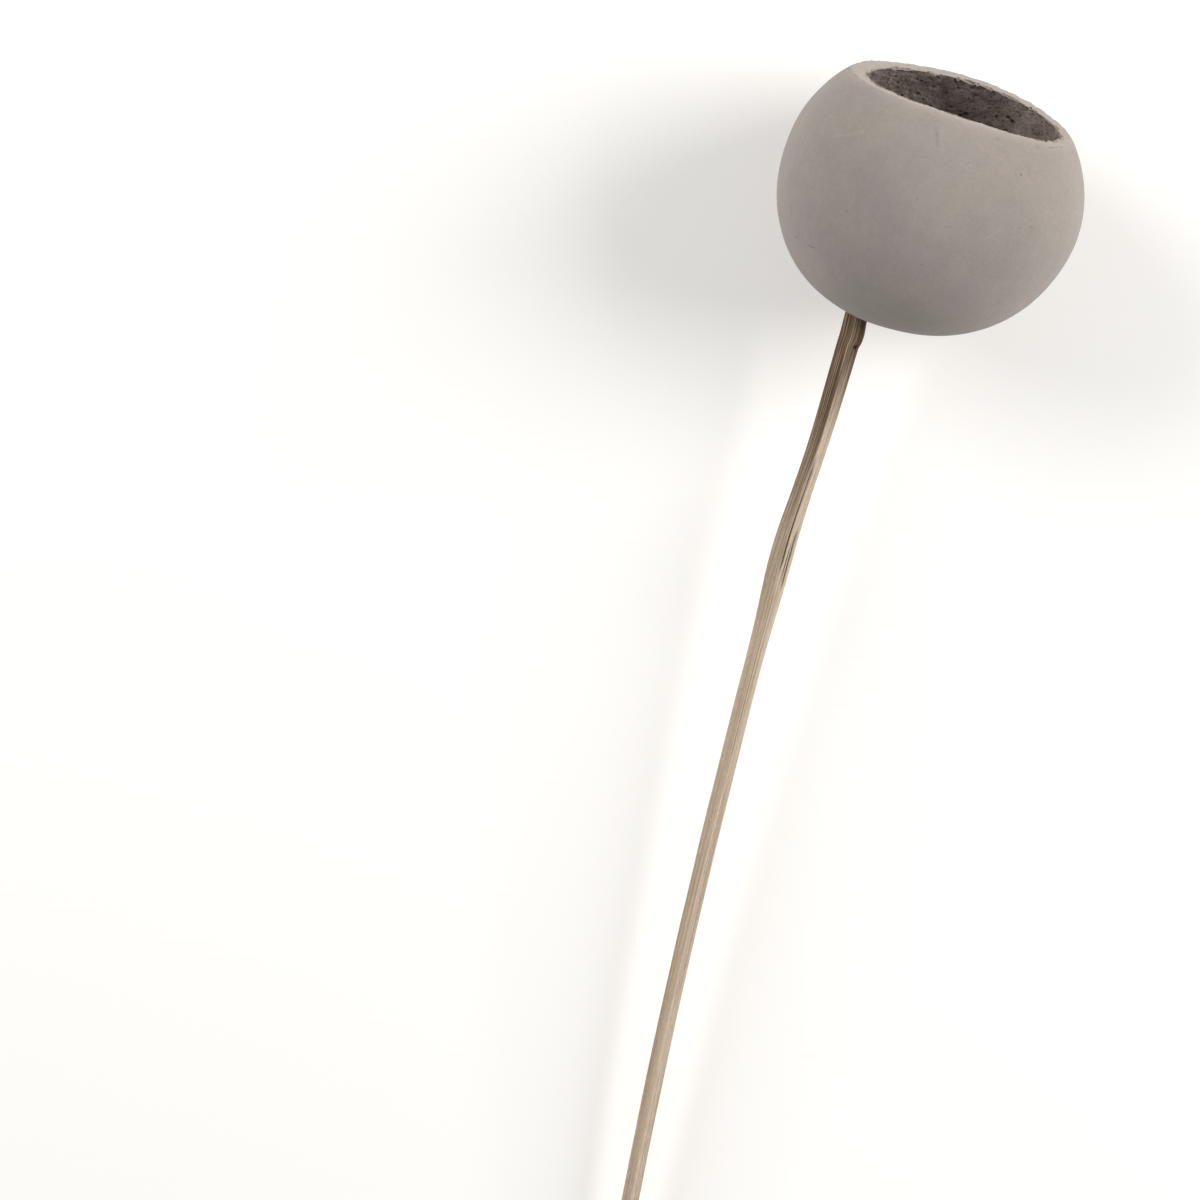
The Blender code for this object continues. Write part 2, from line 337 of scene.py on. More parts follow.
def grown(name, mesh, tree, sizes):
    """The tree run on a mesh with its sizes, as a plain object at the origin."""
    source = bpy.data.objects.new(name + "_source", mesh)
    bpy.context.scene.collection.objects.link(source)
    modifier = source.modifiers.new(tree.name, "NODES")
    modifier.node_group = tree
    for item in tree.interface.items_tree:
        if item.in_out == "INPUT" and item.name in sizes:
            value = sizes[item.name]
            modifier[item.identifier] = value[:] if isinstance(value, Vector) else value
    graph = bpy.context.evaluated_depsgraph_get()
    made = bpy.data.meshes.new_from_object(source.evaluated_get(graph), depsgraph=graph)
    source.modifiers.remove(modifier)
    bpy.data.objects.remove(source)
    bpy.data.meshes.remove(mesh)
    return placed(name, made)


def placed(name, mesh):
    """An object of that name with the mesh, in the scene."""
    mesh.name = name
    obj = bpy.data.objects.new(name, mesh)
    bpy.context.scene.collection.objects.link(obj)
    return obj


def pod_radius(polar, around):
    """From the shell's centre to its skin. polar is 0 at the pole by the stem, pi at the mouth."""
    to_pole = np.maximum(np.cos(polar), 0)
    to_mouth = np.maximum(-np.cos(polar), 0)
    lean = -SIDE_LEAN * np.cos(around) * 2 * np.sin(polar) * to_pole
    lobes = LOBE_DEPTH * np.sin(polar) ** 2 * np.cos(LOBES * around + LOBE_TURN)
    flattening = POLE_FLATTENING * to_pole**POLE_FLATNESS
    return EQUATOR_RADIUS - flattening - SHOULDER_DROP * to_mouth**2 + lean + lobes


def mouth_height(around):
    """The sawn edge isn't flat: it dips and rises twice on its way round, and bulges on the far side."""
    wave = MOUTH_WAVE * 0.5 * np.sin(3 * around) - MOUTH_WAVE * np.cos(2 * around)
    return MOUTH_HEIGHT + wave + FAR_RISE * np.exp(FAR_NARROWNESS * (np.cos(around - FAR_TURN) - 1))


def mouth_polar(around):
    """The polar angle at which the skin comes up to the sawn edge."""
    polar = np.full_like(around, math.acos(-MOUTH_HEIGHT / EQUATOR_RADIUS))
    for _ in range(MOUTH_ROUNDS):
        polar = np.arccos(-mouth_height(around) / pod_radius(polar, around))
    return polar


def from_rim(start, end, least, most, even_until, widening):
    """Distances from the rim, start to end: evenly spaced at first, then ever wider."""
    steps = [start]
    while steps[-1] < end:
        extra = max(0.0, steps[-1] - even_until) * widening
        steps.append(steps[-1] + min(most, least + extra))
    return [s for s in steps if s < end - least]


def below_skin(polar, around, depth):
    """Level from the axis and height from the centre of a point below the skin."""
    reach = pod_radius(polar, around) - depth
    return np.array((reach * np.sin(polar), -reach * np.cos(polar)))


def wall_at(around, distance):
    """The wall's thickness, which is less near the mouth's right end, by the distance from the rim."""
    thinning = THINNER_RIGHT * np.maximum(np.cos(around), 0) ** 2
    return WALL - thinning * math.exp(-((distance / THINNING_REACH) ** 2))


def inner_edge_polar(around, outer_edge):
    """The polar angle at which the lip, dished a little, meets the inner wall."""
    polar = mouth_polar(around)
    for _ in range(MOUTH_ROUNDS):
        level = below_skin(polar, around, wall_at(around, 0))[0]
        height = outer_edge[1] - (outer_edge[0] - level) * math.tan(LIP_DISH)
        polar = np.arccos(-height / (pod_radius(polar, around) - wall_at(around, 0)))
    return polar


def rounded_corner(start, corner, end):
    """Points that round a corner off, between the two ends."""
    shares = [step / CORNER_STEPS for step in range(1, CORNER_STEPS)]
    return [start * (1 - t) ** 2 + corner * 2 * t * (1 - t) + end * t**2 for t in shares]


def shell_rings(around):
    """Rings from the outer pole over the lip to the inner pole. Each is its levels and heights all the
    way round, and its marks: inside goes from 0 to 1 across the lip, rim is 1 on the lip, and edge is
    1 on the lip's inner corner."""
    to_pole = EQUATOR_RADIUS * math.acos(-MOUTH_HEIGHT / EQUATOR_RADIUS)
    outer_polar = mouth_polar(around)
    outer_edge = below_skin(outer_polar, around, 0)
    inner_polar = inner_edge_polar(around, outer_edge)
    inner_edge = below_skin(inner_polar, around, wall_at(around, 0))
    width = float(np.hypot(*(outer_edge - inner_edge)).mean())

    def skin(distance):
        return below_skin(outer_polar * (1 - distance / to_pole), around, 0)

    def lip(distance):
        return outer_edge + (inner_edge - outer_edge) * distance / width

    def wall(distance):
        return below_skin(inner_polar * (1 - distance / to_pole), around, wall_at(around, distance))

    def near(distance, reach=EDGE_REACH):
        return math.exp(-((distance / reach) ** 2))

    outer = from_rim(OUTER_ROUNDING, to_pole, LIP_SPACING, FAR_SPACING, LIP_REACH, SKIN_WIDENING)
    inner = from_rim(INNER_ROUNDING, to_pole, ROUGH_SPACING, FAR_SPACING, ROUGH_REACH, WALL_WIDENING)
    rings = [(skin(d), 0.0, near(d), 0.0) for d in reversed(outer)]
    corner = rounded_corner(skin(OUTER_ROUNDING), outer_edge, lip(OUTER_ROUNDING))
    rings += [(p, OUTER_CORNER_INSIDE, 1.0, 0.0) for p in corner]
    flat = width - OUTER_ROUNDING - INNER_ROUNDING
    steps = round(flat / LIP_SPACING)
    first, last = LIP_INSIDE
    for step in range(steps + 1):
        distance = OUTER_ROUNDING + flat * step / steps
        inside = first + (last - first) * step / steps
        rings.append((lip(distance), inside, 1.0, near(width - distance)))
    corner = rounded_corner(lip(width - INNER_ROUNDING), inner_edge, wall(INNER_ROUNDING))
    rings += [(p, INNER_CORNER_INSIDE, 1.0, 1.0) for p in corner]
    rings += [(wall(d), 1.0, near(d), near(d, EDGE_REACH * 2)) for d in inner]
    return rings


def shell_form():
    """The shell as one closed mesh of rings, with its marks for the patterns that follow it."""
    around = np.linspace(0, math.tau, SHELL_SEGMENTS, endpoint=False)
    rings = shell_rings(around)
    places, *marks = zip(*rings)
    points = [np.column_stack((p[0] * np.cos(around), p[0] * np.sin(around), p[1])) for p in places]
    pole_reach = float(pod_radius(np.zeros(1), np.zeros(1))[0])
    points.append([(0, 0, -pole_reach), (0, 0, WALL - pole_reach)])
    local = np.vstack(points)
    outer_pole, inner_pole = len(local) - 2, len(local) - 1
    last = (len(rings) - 1) * SHELL_SEGMENTS
    faces = []
    for j in range(SHELL_SEGMENTS):
        k = (j + 1) % SHELL_SEGMENTS
        faces.append((outer_pole, k, j))
        for ring in range(0, last, SHELL_SEGMENTS):
            above = ring + SHELL_SEGMENTS
            faces.append((ring + j, ring + k, above + k, above + j))
        faces.append((last + j, last + k, inner_pole))
    mesh = bpy.data.meshes.new("shell_form")
    mesh.from_pydata(local.tolist(), [], faces)
    for name, values, at_poles in zip(("inside", "rim", "edge"), marks, ((0, 1), (0, 0), (0, 0))):
        values = np.append(np.repeat(values, SHELL_SEGMENTS), at_poles)
        mesh.attributes.new(name, "FLOAT", "POINT").data.foreach_set("value", values.astype(np.float32))
    mesh.attributes.new("in_the_pod", "FLOAT_VECTOR", "POINT").data.foreach_set("vector", local.ravel())
    lying = Euler((MOUTH_RISE - math.pi / 2, 0, -MOUTH_SWING)).to_matrix().to_4x4()
    mesh.transform(Matrix.Translation(POD_PLACE) @ lying)
    return mesh


def pushed(tree, surface, facing, distance):
    """The surface moved along its first normals by a distance, which is below zero inwards."""
    along = add(tree, VECTOR_MATH, {0: facing, "Scale": distance}, operation="SCALE")
    return add(tree, SET_POSITION, {"Geometry": surface, "Offset": along})


def roughened(tree, surface, facing, where, size, height, level, detail):
    """Roughness of a grain size and a height. A level of 1 only presses in, one of 0.5 goes both ways."""
    scale = add(tree, MATH, {0: 1.0, 1: size}, operation="DIVIDE")
    noise = add(tree, NOISE, {"Scale": scale, "Detail": detail, "Roughness": 0.6})
    lift = add(tree, MATH, {0: noise, 1: level}, operation="SUBTRACT")
    lift = add(tree, MATH, {0: lift, 1: height}, operation="MULTIPLY")
    lift = add(tree, MATH, {0: lift, 1: where}, operation="MULTIPLY")
    return pushed(tree, surface, facing, lift)


def sunk(tree, surface, facing, closeness, reach, depth):
    """The surface pressed in by how close each point is to a dent's middle, from 0 to 1, times the
    dent's radius and depth."""
    drop = closeness
    for factor in (reach, depth, -1.0):
        drop = add(tree, MATH, {0: drop, 1: factor}, operation="MULTIPLY")
    return pushed(tree, surface, facing, drop)


def dented(tree, surface, facing, where, density, least, most, depth, seed):
    """Round dents at random points, each as deep as its radius times the depth. A depth below zero
    raises grains. The mark called hollow keeps how far into a dent each point is."""
    density = add(tree, MATH, {0: density, 1: where}, operation="MULTIPLY")
    points = add(tree, SCATTER, {"Mesh": surface, "Density": density, "Seed": seed})
    reach = add(tree, RANDOM, {"Min": least, "Max": most, "Seed": seed}, data_type="FLOAT")
    points = add(tree, STORE, {"Geometry": points, "Name": "reach", "Value": reach}, data_type="FLOAT")
    nearest = add(tree, "GeometryNodeSampleNearest", {"Geometry": points}, domain="POINT")
    position = add(tree, POSITION)
    found = {"Geometry": points, "Index": nearest}
    centre = add(tree, SAMPLE, {**found, "Value": position}, data_type="FLOAT_VECTOR")
    reach = add(tree, SAMPLE, {**found, "Value": add(tree, MARK, {"Name": "reach"})}, data_type="FLOAT")
    away = add(tree, VECTOR_MATH, {0: position, 1: centre}, "Value", operation="DISTANCE")
    limits = {"From Max": reach, "To Min": 1.0, "To Max": 0.0}
    closeness = add(tree, MAP_RANGE, {"Value": away, **limits}, interpolation_type="SMOOTHSTEP")
    surface = sunk(tree, surface, facing, closeness, reach, depth)
    hollow = add(tree, MATH, {0: add(tree, MARK, {"Name": "hollow"}), 1: closeness}, operation="MAXIMUM")
    return add(tree, STORE, {"Geometry": surface, "Name": "hollow", "Value": hollow}, data_type="FLOAT")


def kept_inside(tree, surface, low, high):
    """No point outside the box between two corners, which stands on the table top."""
    place = add(tree, VECTOR_MATH, {0: add(tree, POSITION), 1: low}, operation="MAXIMUM")
    place = add(tree, VECTOR_MATH, {0: place, 1: high}, operation="MINIMUM")
    return add(tree, SET_POSITION, {"Geometry": surface, "Position": place})


def rind_tree(sizes):
    """The shell's relief: uneven skin, gnawed lip, pitted and grainy inside, belly flat, drilled hole."""
    tree, size = geometry_tree("weathered_rind", sizes)
    inside = add(tree, MARK, {"Name": "inside"}, data_type="FLOAT")
    rim = add(tree, MARK, {"Name": "rim"}, data_type="FLOAT")
    edge = add(tree, MARK, {"Name": "edge"}, data_type="FLOAT")
    facing = add(tree, MARK, {"Name": "facing"}, data_type="FLOAT_VECTOR")
    outside = add(tree, MATH, {0: 1.0, 1: inside}, operation="SUBTRACT")
    kept = {"Geometry": size["Geometry"], "Name": "facing", "Value": add(tree, NORMAL)}
    surface = add(tree, STORE, kept, data_type="FLOAT_VECTOR")
    # where it is, its name, its level and the detail of its noise
    kinds_of_roughness = (
        (outside, "Dent", 0.75, 2.0),
        (inside, "Lump", 0.5, 2.0),
        (inside, "Scrape", 0.5, 4.0),
        (rim, "Saw", 0.8, 4.0),
        (edge, "Gnaw", 0.55, 3.0),
    )
    for where, label, level, detail in kinds_of_roughness:
        amounts = [size[f"{label} {word}"] for word in ("Size", "Height")]
        surface = roughened(tree, surface, facing, where, *amounts, level, detail)
    kinds_of_dent = (
        (inside, "Pit"),
        (inside, "Pore"),
        (inside, "Grain"),
        (rim, "Chip"),
        (outside, "Nick"),
    )
    for turn, (where, label) in enumerate(kinds_of_dent):
        seed = add(tree, MATH, {0: size["Seed"], 1: float(turn)}, operation="ADD")
        amounts = [size[f"{label} {word}"] for word in ("Density", "Least", "Most", "Depth")]
        surface = dented(tree, surface, facing, where, *amounts, seed)
    surface = kept_inside(tree, surface, size["Low Corner"], size["High Corner"])
    round_rod = {"Vertices": 64, "Side Segments": 24}
    round_rod.update({"Radius": size["Hole Radius"], "Depth": size["Hole Length"]})
    drill = add(tree, "GeometryNodeMeshCylinder", round_rod)
    drill = add(tree, STORE, {"Geometry": drill, "Name": "raw", "Value": 1.0}, data_type="FLOAT")
    turned = add(tree, "FunctionNodeAlignRotationToVector", {"Vector": size["Hole Direction"]}, axis="Z")
    placing = {"Geometry": drill, "Translation": size["Hole Place"], "Rotation": turned}
    drill = add(tree, "GeometryNodeTransform", placing)
    both = {"Mesh 1": surface, "Mesh 2": drill}
    cut = add(tree, "GeometryNodeMeshBoolean", both, operation="DIFFERENCE", solver="EXACT")
    finish_tree(tree, cut, size["Finish"])
    return tree


def shell(finish):
    """The fine shell, in the place of the plain one."""
    direction = (STEM_ROUTE[1] - STEM_ROUTE[0]).normalized()
    sizes = {
        "Dent Size": 14 * MM,
        "Dent Height": 0.35 * MM,
        "Lump Size": 7.5 * MM,
        "Lump Height": 1.4 * MM,
        "Scrape Size": 1.9 * MM,
        "Scrape Height": 0.42 * MM,
        "Saw Size": 1.8 * MM,
        "Saw Height": 0.7 * MM,
        "Gnaw Size": 4.5 * MM,
        "Gnaw Height": 2.3 * MM,
        "Pit Density": 0.035 / MM**2,
        "Pit Least": 0.4 * MM,
        "Pit Most": 0.85 * MM,
        "Pit Depth": 1.0,
        "Pore Density": 0.12 / MM**2,
        "Pore Least": 0.35 * MM,
        "Pore Most": 0.55 * MM,
        "Pore Depth": 0.7,
        "Grain Density": 0.04 / MM**2,
        "Grain Least": 0.4 * MM,
        "Grain Most": 0.8 * MM,
        "Grain Depth": -0.3,
        "Chip Density": 0.12 / MM**2,
        "Chip Least": 0.4 * MM,
        "Chip Most": 0.9 * MM,
        "Chip Depth": 0.45,
        "Nick Density": 0.004 / MM**2,
        "Nick Least": 0.7 * MM,
        "Nick Most": 1.4 * MM,
        "Nick Depth": 0.12,
        "Hole Radius": HOLE_RADIUS,
        "Hole Length": HOLE_LENGTH,
        "Hole Place": STEM_ROUTE[1],
        "Hole Direction": direction,
        "Low Corner": shell_low,
        "High Corner": shell_high,
        "Seed": 7,
        "Finish": finish,
    }
    made = grown("painted_rind_shell", shell_form(), rind_tree(sizes), sizes)
    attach(made, "root")
    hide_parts("shell")
    return made


def smooth_route(points, spacing):
    """Points along a smooth curve through the route's own points, about the spacing apart."""
    ends = [points[0] * 2 - points[1], *points, points[-1] * 2 - points[-2]]
    found = []
    for before, start, end, after in zip(ends, ends[1:], ends[2:], ends[3:]):
        lead_in = start + (end - before) / 6
        lead_out = end - (after - start) / 6
        steps = max(2, round((end - start).length / spacing))
        found += geometry.interpolate_bezier(start, lead_in, lead_out, end, steps + 1)[:-1]
    return [*found, points[-1]]


def stem_width(along):
    """The stem's width at a distance from its end inside the shell."""
    collar = COLLAR_SWELL * math.exp(-((along / COLLAR_REACH) ** 2))
    bend = BEND_SWELL * math.exp(-(((along - BEND_PLACE) / BEND_REACH) ** 2))
    return STEM_WIDTH + collar + bend


def stem_line():
    """The stem's centre line as a chain of edges, marked with its width, its twist and the way along."""
    route = smooth_route(STEM_ROUTE, STATION_SPACING)
    steps = [0.0, *((b - a).length for a, b in zip(route, route[1:]))]
    along = np.cumsum(steps)
    mesh = bpy.data.meshes.new("stem_line")
    mesh.from_pydata([tuple(p) for p in route], [(i, i + 1) for i in range(len(route) - 1)], [])
    marks = {
        "along": along,
        "width": [stem_width(a) for a in along],
        "twist": STEM_TWIST * along / along[-1],
    }
    for name, values in marks.items():
        mark = mesh.attributes.new(name, "FLOAT", "POINT")
        mark.data.foreach_set("value", np.asarray(values, dtype=np.float32))
    return mesh


def drawn_out(tree, section, along, length):
    """The place round the section, moved on by the way along, so that patterns become fibres."""
    onwards = add(tree, MATH, {0: along, 1: length}, operation="DIVIDE")
    onwards = add(tree, "ShaderNodeCombineXYZ", {"Z": onwards})
    return add(tree, VECTOR_MATH, {0: section, 1: onwards}, operation="ADD")


def split_stick_tree(sizes):
    """The stem: a five-cornered section swept along its line, then grained, split and knotted."""
    tree, size = geometry_tree("split_stick", sizes)
    along = add(tree, MARK, {"Name": "along"}, data_type="FLOAT")
    width = add(tree, MARK, {"Name": "width"}, data_type="FLOAT")
    twist = add(tree, MARK, {"Name": "twist"}, data_type="FLOAT")
    section = add(tree, MARK, {"Name": "section"}, data_type="FLOAT_VECTOR")
    facing = add(tree, MARK, {"Name": "facing"}, data_type="FLOAT_VECTOR")
    position = add(tree, POSITION)

    line = add(tree, "GeometryNodeMeshToCurve", {"Mesh": size["Geometry"]})
    line = add(tree, "GeometryNodeSetCurveNormal", {"Curve": line}, mode="Z_UP")
    line = add(tree, "GeometryNodeSetCurveTilt", {"Curve": line, "Tilt": twist})

    unit_circle = {"Resolution": size["Section Points"], "Radius": 1.0}
    ring = add(tree, "GeometryNodeCurvePrimitiveCircle", unit_circle)
    across = add(tree, "ShaderNodeSeparateXYZ", {0: position}, "X")
    turn = add(tree, MATH, {0: across.node.outputs["Y"], 1: across}, operation="ARCTAN2")
    half_turns = {0: turn, 1: SECTION_SIDES / 2, 2: SECTION_TURN / 2}
    face = add(tree, MATH, {0: add(tree, MATH, half_turns, operation="MULTIPLY_ADD")}, operation="SINE")
    face = add(tree, MATH, {0: face}, operation="ABSOLUTE")
    face = add(tree, MATH, {0: face, 1: size["Corner Crispness"]}, operation="POWER")
    depth = add(tree, MATH, {0: size["Corner Height"], 1: -2.0}, operation="MULTIPLY")
    reach = add(tree, MATH, {0: face, 1: depth, 2: 1.0}, operation="MULTIPLY_ADD")
    reach = add(tree, MATH, {0: reach, 1: 0.5}, operation="MULTIPLY")
    outline = add(tree, VECTOR_MATH, {0: position, "Scale": reach}, operation="SCALE")
    outline = add(tree, VECTOR_MATH, {0: outline, 1: size["Section Shape"]}, operation="MULTIPLY")
    marks = {"Geometry": ring, "Name": "section", "Value": position}
    ring = add(tree, STORE, marks, data_type="FLOAT_VECTOR")
    ring = add(tree, STORE, {"Geometry": ring, "Name": "turn", "Value": turn}, data_type="FLOAT")
    ring = add(tree, STORE, {"Geometry": ring, "Name": "face", "Value": face}, data_type="FLOAT")
    ring = add(tree, SET_POSITION, {"Geometry": ring, "Position": outline})

    sweep = {"Curve": line, "Profile Curve": ring, "Scale": width, "Fill Caps": True}
    stick = add(tree, "GeometryNodeCurveToMesh", sweep)
    kept = {"Geometry": stick, "Name": "facing", "Value": add(tree, NORMAL)}
    stick = add(tree, STORE, kept, data_type="FLOAT_VECTOR")

    grain = drawn_out(tree, section, along, size["Grain Length"])
    fibre = {"Vector": grain, "Scale": size["Grain Turns"], "Detail": 3.0, "Roughness": 0.6}
    lift = add(tree, MATH, {0: add(tree, NOISE, fibre), 1: size["Fibre Level"]}, operation="SUBTRACT")
    lift = add(tree, MATH, {0: lift, 1: size["Fibre Height"]}, operation="MULTIPLY")
    stick = pushed(tree, stick, facing, lift)

    turn = add(tree, MARK, {"Name": "turn"}, data_type="FLOAT")
    wander = add(tree, MATH, {0: along, 1: size["Split Wander Length"]}, operation="DIVIDE")
    wander = add(tree, NOISE, {"W": wander, "Scale": 1.0, "Detail": 0.0}, noise_dimensions="1D")
    wander = add(tree, MATH, {0: wander, 1: 0.5}, operation="SUBTRACT")
    wander = add(tree, MATH, {0: wander, 1: size["Split Wander"], 2: turn}, operation="MULTIPLY_ADD")
    splits = 0.0
    for angle, half_width, start, end, taper, depth in SPLITS:
        aside = add(tree, MATH, {0: wander, 1: math.radians(angle)}, operation="SUBTRACT")
        aside = add(tree, MATH, {0: aside}, operation="ABSOLUTE")
        limits = {"From Max": math.radians(half_width), "To Min": depth * MM, "To Max": 0.0}
        split = add(tree, MAP_RANGE, {"Value": aside, **limits}, interpolation_type="SMOOTHSTEP")
        for side, tip in ((1, start * MM), (-1, end * MM)):
            limits = {"From Min": tip, "From Max": tip + side * taper * MM}
            share = add(tree, MAP_RANGE, {"Value": along, **limits}, interpolation_type="SMOOTHSTEP")
            split = add(tree, MATH, {0: split, 1: share}, operation="MULTIPLY")
        splits = add(tree, MATH, {0: split, 1: splits}, operation="ADD")
    drop = add(tree, MATH, {0: splits, 1: -1.0}, operation="MULTIPLY")
    stick = pushed(tree, stick, facing, drop)
    # How deep each point lies in a split, kept for the colour, which darkens the splits as painted shade
    hollow = add(tree, MATH, {0: splits, 1: size["Dark Split Depth"]}, operation="DIVIDE")
    stick = add(tree, STORE, {"Geometry": stick, "Name": "hollow", "Value": hollow}, data_type="FLOAT")

    away = add(tree, VECTOR_MATH, {0: position, 1: size["Knot Place"]}, "Value", operation="DISTANCE")
    share = add(tree, MATH, {0: away, 1: size["Knot Reach"]}, operation="DIVIDE")
    share = add(tree, MATH, {0: share, 1: 2.0}, operation="POWER")
    share = add(tree, MATH, {0: share, 1: -1.0}, operation="MULTIPLY")
    swell = add(tree, MATH, {0: share}, operation="EXPONENT")
    tip = size["Knot Tip"]
    before = add(tree, MATH, {0: tip, 1: size["Knot Break"]}, operation="SUBTRACT")
    limits = {"From Min": before, "From Max": tip, "To Min": 1.0, "To Max": 0.0}
    broken = add(tree, MAP_RANGE, {"Value": along, **limits})
    swell = add(tree, MATH, {0: swell, 1: broken}, operation="MULTIPLY")
    push = add(tree, VECTOR_MATH, {0: size["Knot Swell"], "Scale": swell}, operation="SCALE")
    stick = add(tree, SET_POSITION, {"Geometry": stick, "Offset": push})

    away = add(tree, VECTOR_MATH, {0: position, 1: size["Knot Hole"]}, "Value", operation="DISTANCE")
    limits = {"From Max": size["Knot Hole Radius"], "To Min": 1.0, "To Max": 0.0}
    hole = add(tree, MAP_RANGE, {"Value": away, **limits}, interpolation_type="SMOOTHSTEP")
    stick = add(tree, STORE, {"Geometry": stick, "Name": "knot_hole", "Value": hole}, data_type="FLOAT")
    stick = sunk(tree, stick, facing, hole, size["Knot Hole Radius"], size["Knot Hole Depth"])
    stick = kept_inside(tree, stick, size["Low Corner"], size["High Corner"])
    finish_tree(tree, stick, size["Finish"])
    return tree


def stem(finish):
    """The fine stem, in the place of the plain one."""
    start = STEM_ROUTE[0]
    onwards = (STEM_ROUTE[1] - start).normalized()
    sizes = {
        "Section Points": SECTION_POINTS,
        "Section Shape": Vector((1.0, SECTION_DEPTH, 1.0)),
        "Corner Height": CORNER_SHARPNESS,
        "Corner Crispness": 1.15,
        "Grain Turns": 5.0,
        "Grain Length": GRAIN_LENGTH,
        "Fibre Height": 0.5 * MM,
        "Fibre Level": 0.6,
        "Split Wander": SPLIT_WANDER,
        "Split Wander Length": SPLIT_WANDER_LENGTH,
        "Dark Split Depth": DARK_SPLIT_DEPTH,
        "Knot Place": start + onwards * KNOT_PLACE + KNOT_SIDE * STEM_WIDTH / 2,
        "Knot Reach": KNOT_REACH,
        "Knot Swell": Vector((KNOT_SWELL, 0, 0)),
        "Knot Tip": KNOT_HOLE_PLACE,
        "Knot Break": KNOT_BREAK,
        "Knot Hole": start + onwards * KNOT_HOLE_PLACE + KNOT_HOLE_SIDE * STEM_WIDTH / 2,
        "Knot Hole Radius": KNOT_HOLE_RADIUS,
        "Knot Hole Depth": KNOT_HOLE_DEPTH,
        "Low Corner": stem_low,
        "High Corner": stem_high,
        "Finish": finish,
    }
    made = grown("split_wood_stem", stem_line(), split_stick_tree(sizes), sizes)
    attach(made, "root")
    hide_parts("stem")
    return made


def glue_bead(finish):
    """The bead of glue inside, in the place of the plain one: the same form, melted soft."""
    form = bmesh.new()
    form.from_mesh(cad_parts["glue_bead"].data)
    bmesh.ops.remove_doubles(form, verts=form.verts, dist=WELD_DISTANCE)
    mesh = bpy.data.meshes.new("glue_bead_form")
    form.to_mesh(mesh)
    form.free()
    source = placed("melted_glue_bead", mesh)
    remesh = source.modifiers.new("remesh", "REMESH")
    remesh.mode = "VOXEL"
    remesh.voxel_size = GLUE_GRID
    soften = source.modifiers.new("soften", "SMOOTH")
    soften.iterations = GLUE_SMOOTHING
    graph = bpy.context.evaluated_depsgraph_get()
    melted = bpy.data.meshes.new_from_object(source.evaluated_get(graph), depsgraph=graph)
    made = placed("glue_drop", melted)
    bpy.data.objects.remove(source)
    made.data.shade_smooth()
    made.data.materials.clear()
    made.data.materials.append(finish)
    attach(made, "root")
    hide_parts("glue_bead")
    return made


def principled(name, roughness, colour, **settings):
    """A new material's tree and shader, with its plain settings on the shader's own sockets."""
    made = bpy.data.materials.new(name)
    made.use_nodes = True
    shader = made.node_tree.nodes["Principled BSDF"]
    shader.inputs["Roughness"].default_value = roughness
    shader.inputs["Base Color"].default_value = linear(colour)
    for socket, value in settings.items():
        shader.inputs[socket.replace("_", " ")].default_value = value
    return made, made.node_tree, shader


def multiplied(tree, patterns):
    """The product of patterns. Each has the two values that it is taken between, and what those give."""
    product = 1.0
    for pattern, start, end, first, last in patterns:
        limits = {"From Min": start, "From Max": end, "To Min": first, "To Max": last}
        given = add(tree, MAP_RANGE, {"Value": pattern, **limits})
        product = add(tree, MATH, {0: given, 1: product}, operation="MULTIPLY")
    return product


def layered(tree, colour, layers):
    """Colours laid over the first one in turn. Each has the pattern that it follows, the two values
    that this is taken between, how much it covers at those, and its hex code."""
    for pattern, start, end, first, last, code in layers:
        limits = {"From Min": start, "From Max": end, "To Min": first, "To Max": last}
        cover = add(tree, MAP_RANGE, {"Value": pattern, **limits})
        colour = add(tree, MIX, {"Factor": cover, "A": colour, "B": linear(code)}, data_type="RGBA")
    return colour


def embossed(tree, shader, patterns):
    """Gives the shader a relief: the sum of patterns, each times its height."""
    relief = 0.0
    for pattern, height in patterns:
        relief = add(tree, MATH, {0: pattern, 1: height, 2: relief}, operation="MULTIPLY_ADD")
    bump = add(tree, "ShaderNodeBump", {"Height": relief, "Distance": 1.0, "Strength": 1.0})
    tree.links.new(bump, shader.inputs["Normal"])


def holes(tree, place, spacing, part, left_out, widest, edge, fall):
    """How far each point is into a small round hole, from 0 to 1. A part of each cell's random colour
    says how wide its hole is."""
    away = add(tree, "ShaderNodeTexVoronoi", {"Vector": place, "Scale": 1 / spacing}, "Distance")
    random = add(tree, "ShaderNodeSeparateColor", {"Color": away.node.outputs["Color"]}, part)
    radius = add(tree, MAP_RANGE, {"Value": random, "From Min": left_out, "To Max": widest})
    within = add(tree, MATH, {0: radius, 1: away}, operation="SUBTRACT")
    return add(tree, MAP_RANGE, {"Value": within, "From Max": edge}, interpolation_type=fall)


def on_the_skin(turn, from_rim_mm):
    """A point of the skin in the shell's own frame."""
    around = np.array([math.radians(turn)])
    to_pole = EQUATOR_RADIUS * math.acos(-MOUTH_HEIGHT / EQUATOR_RADIUS)
    level, height = below_skin(mouth_polar(around) * (1 - from_rim_mm * MM / to_pole), around, 0)[:, 0]
    return Vector((level * math.cos(around[0]), level * math.sin(around[0]), height))


